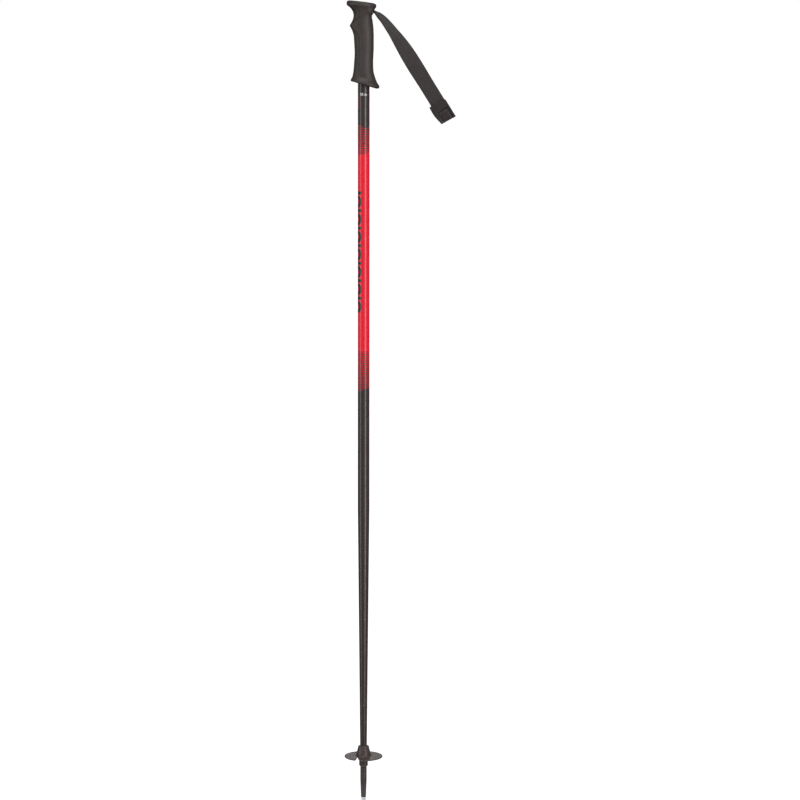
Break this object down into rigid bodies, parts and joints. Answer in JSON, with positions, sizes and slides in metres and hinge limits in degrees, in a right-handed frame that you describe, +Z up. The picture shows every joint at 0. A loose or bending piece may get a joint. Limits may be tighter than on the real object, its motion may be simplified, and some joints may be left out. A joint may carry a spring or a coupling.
{
  "type": "ski pole",
  "caption": "Alpine ski pole: tapered tube, moulded grip with sloping head and flared foot, twisted wrist strap with clamping slider, round basket, ferrule and steel tip.",
  "frame": {"origin": "on the shaft's axis at the very end of the steel tip", "axes": "+Z up the shaft towards the grip, +X towards the back of the grip, where the strap leaves, +Y to the left of the grip seen from behind its finger side"},
  "size_m": [0.1704, 0.0596, 1.25],
  "materials": {
    "shaft_paint": "painted, satin black with a red field",
    "grip_plastic": "moulded, soft matte",
    "cap_plastic": "moulded, satin",
    "pin_steel": "zinc plated",
    "webbing": "woven polyester",
    "slider_plastic": "moulded, smooth satin",
    "ferrule_plastic": "moulded, smooth",
    "basket_plastic": "moulded, smooth",
    "tip_steel": "machined"
  },
  "bodies": {
    "pole": {"shaft_tube": "shaft_paint", "grip_body": "grip_plastic", "grip_top_cap": "cap_plastic", "strap_anchor_pin": "pin_steel", "strap_root_loop": "webbing", "ferrule": "ferrule_plastic", "steel_tip": "tip_steel"},
    "strap": {"strap_webbing": "webbing"},
    "slider": {"slider_frame": "slider_plastic", "lever_pin": "pin_steel"},
    "lever": {"slider_lever": "slider_plastic"},
    "basket": {"basket": "basket_plastic"}
  },
  "joints": [
    {"name": "strap_swing", "type": "hinge", "parent": "pole", "child": "strap", "pos_m": [0.0172, 0, 1.2328], "axis": [0, -1, 0], "range_deg": [-22, 80]},
    {"name": "slider_slide", "type": "slide", "parent": "strap", "child": "slider", "axis": [-0.5299, 0, 0.848], "range_m": [0, 0.04]},
    {"name": "lever_hinge", "type": "hinge", "parent": "slider", "child": "lever", "pos_m": [0.12189, -0.0035, 1.08186], "axis": [-0.848, 0, -0.5299], "range_deg": [0, 80]},
    {"name": "basket_pull", "type": "slide", "parent": "pole", "child": "basket", "axis": [0, 0, -1], "range_m": [0, 0.09]}
  ]
}
